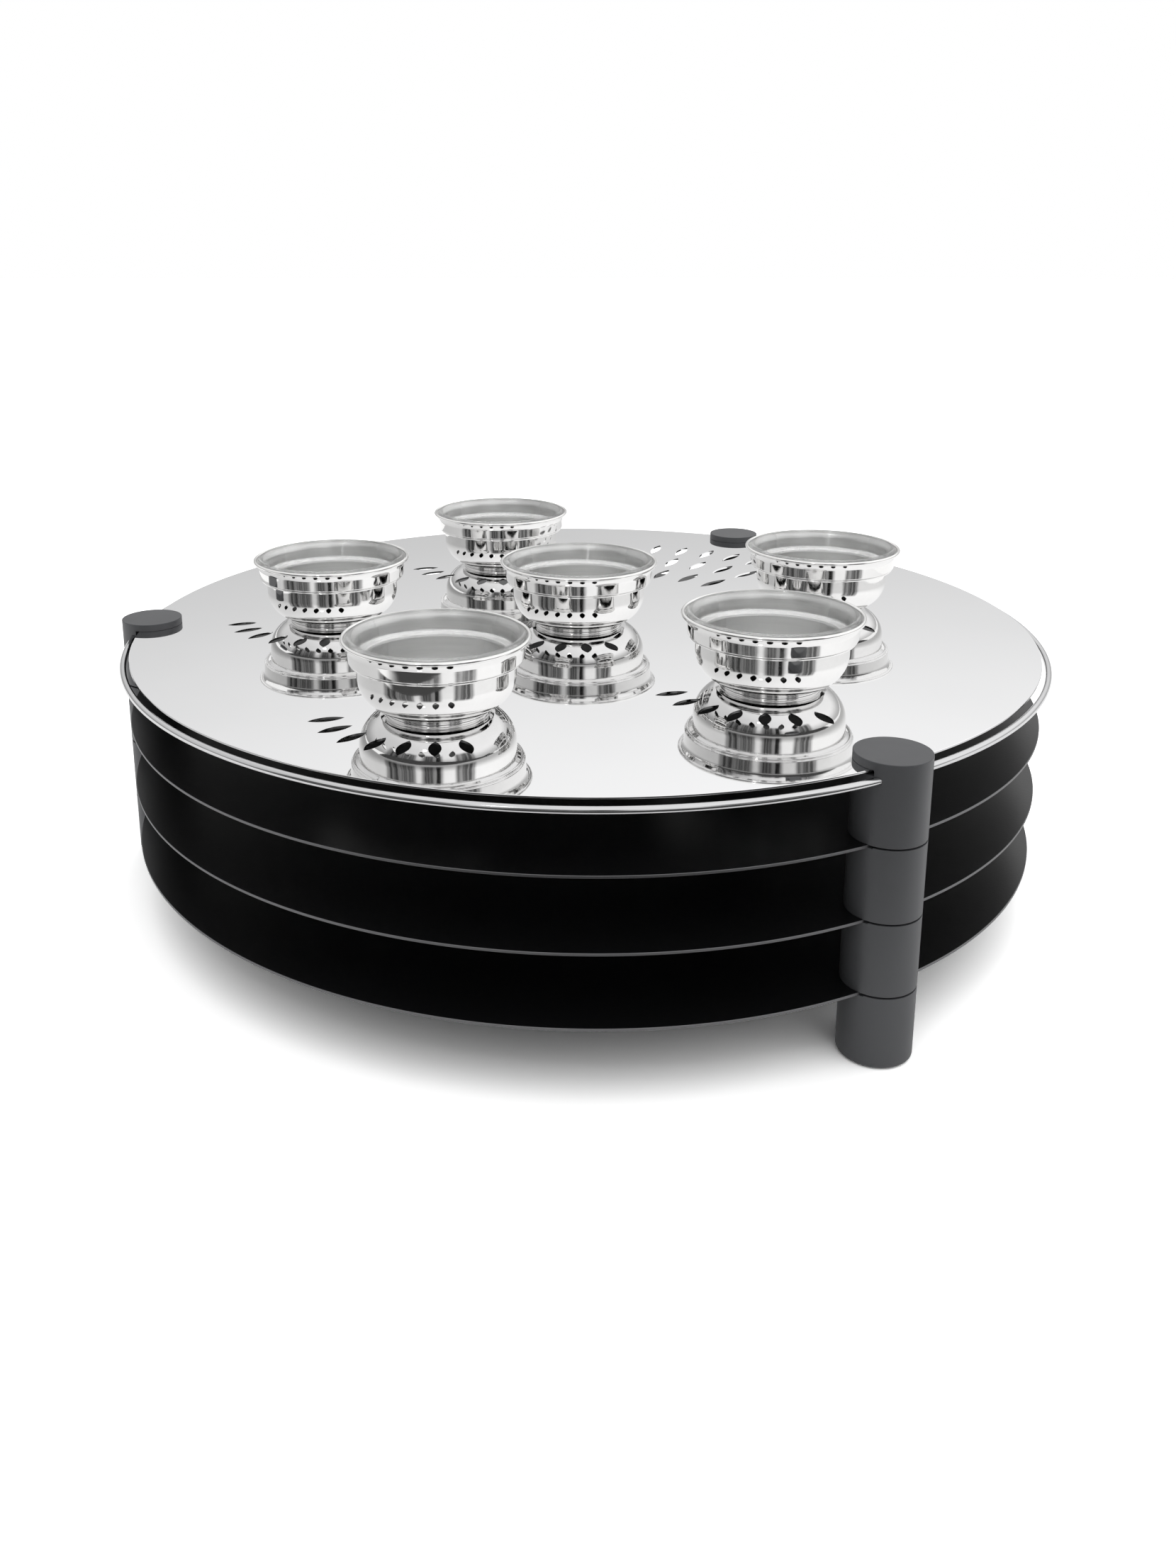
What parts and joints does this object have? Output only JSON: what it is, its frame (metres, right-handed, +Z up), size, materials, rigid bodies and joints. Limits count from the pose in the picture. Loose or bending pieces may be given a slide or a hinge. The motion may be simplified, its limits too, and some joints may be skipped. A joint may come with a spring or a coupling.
{
  "type": "seder plate",
  "caption": "Tiered round seder stand: thin shelves clamped between turned posts, a polished pierced plate inside a rod ring, and footed bowls with lift-out glass liners.",
  "frame": {"origin": "on the floor, on the vertical axis through the middle of the plate", "axes": "+Z up; the pictured front faces -Y and a little +X"},
  "size_m": [0.3816, 0.3816, 0.1313],
  "materials": {
    "post_grey": "satin dark grey",
    "shelf_black": "matt black coating",
    "plate_mirror": "mirror polish",
    "ring_chrome": "polished rod",
    "bowl_silver": "polished silver plate",
    "liner_glass": "clear pressed glass",
    "screw_steel": "plain steel",
    "rubber": "matt black"
  },
  "bodies": {
    "stand": {"front_right_foot_pad": "rubber", "front_right_foot": "post_grey", "front_right_lower_spacer": "post_grey", "front_right_upper_spacer": "post_grey", "front_right_top_clamp": "post_grey", "front_right_tie_screw": "screw_steel", "front_right_plate_pad": "rubber", "back_right_foot_pad": "rubber", "back_right_foot": "post_grey", "back_right_lower_spacer": "post_grey", "back_right_upper_spacer": "post_grey", "back_right_top_clamp": "post_grey", "back_right_tie_screw": "screw_steel", "back_right_plate_pad": "rubber", "left_foot_pad": "rubber", "left_foot": "post_grey", "left_lower_spacer": "post_grey", "left_upper_spacer": "post_grey", "left_top_clamp": "post_grey", "left_tie_screw": "screw_steel", "left_plate_pad": "rubber", "lower_shelf": "shelf_black", "middle_shelf": "shelf_black", "upper_shelf": "shelf_black", "rim_ring": "ring_chrome", "top_plate": "plate_mirror"},
    "centre_bowl": {"centre_bowl": "bowl_silver"},
    "centre_liner": {"centre_liner": "liner_glass"},
    "left_bowl": {"left_bowl": "bowl_silver"},
    "left_liner": {"left_liner": "liner_glass"},
    "front_bowl": {"front_bowl": "bowl_silver"},
    "front_liner": {"front_liner": "liner_glass"},
    "right_bowl": {"right_bowl": "bowl_silver"},
    "right_liner": {"right_liner": "liner_glass"},
    "back_right_bowl": {"back_right_bowl": "bowl_silver"},
    "back_right_liner": {"back_right_liner": "liner_glass"},
    "back_left_bowl": {"back_left_bowl": "bowl_silver"},
    "back_left_liner": {"back_left_liner": "liner_glass"}
  },
  "joints": [
    {"name": "centre_bowl_lift", "type": "slide", "parent": "stand", "child": "centre_bowl", "axis": [0, 0, 1], "range_m": [0, 0.06]},
    {"name": "centre_liner_lift", "type": "slide", "parent": "centre_bowl", "child": "centre_liner", "axis": [0, 0, 1], "range_m": [0, 0.04]},
    {"name": "left_bowl_lift", "type": "slide", "parent": "stand", "child": "left_bowl", "axis": [0, 0, 1], "range_m": [0, 0.06]},
    {"name": "left_liner_lift", "type": "slide", "parent": "left_bowl", "child": "left_liner", "axis": [0, 0, 1], "range_m": [0, 0.04]},
    {"name": "front_bowl_lift", "type": "slide", "parent": "stand", "child": "front_bowl", "axis": [0, 0, 1], "range_m": [0, 0.06]},
    {"name": "front_liner_lift", "type": "slide", "parent": "front_bowl", "child": "front_liner", "axis": [0, 0, 1], "range_m": [0, 0.04]},
    {"name": "right_bowl_lift", "type": "slide", "parent": "stand", "child": "right_bowl", "axis": [0, 0, 1], "range_m": [0, 0.06]},
    {"name": "right_liner_lift", "type": "slide", "parent": "right_bowl", "child": "right_liner", "axis": [0, 0, 1], "range_m": [0, 0.04]},
    {"name": "back_right_bowl_lift", "type": "slide", "parent": "stand", "child": "back_right_bowl", "axis": [0, 0, 1], "range_m": [0, 0.06]},
    {"name": "back_right_liner_lift", "type": "slide", "parent": "back_right_bowl", "child": "back_right_liner", "axis": [0, 0, 1], "range_m": [0, 0.04]},
    {"name": "back_left_bowl_lift", "type": "slide", "parent": "stand", "child": "back_left_bowl", "axis": [0, 0, 1], "range_m": [0, 0.06]},
    {"name": "back_left_liner_lift", "type": "slide", "parent": "back_left_bowl", "child": "back_left_liner", "axis": [0, 0, 1], "range_m": [0, 0.04]}
  ]
}
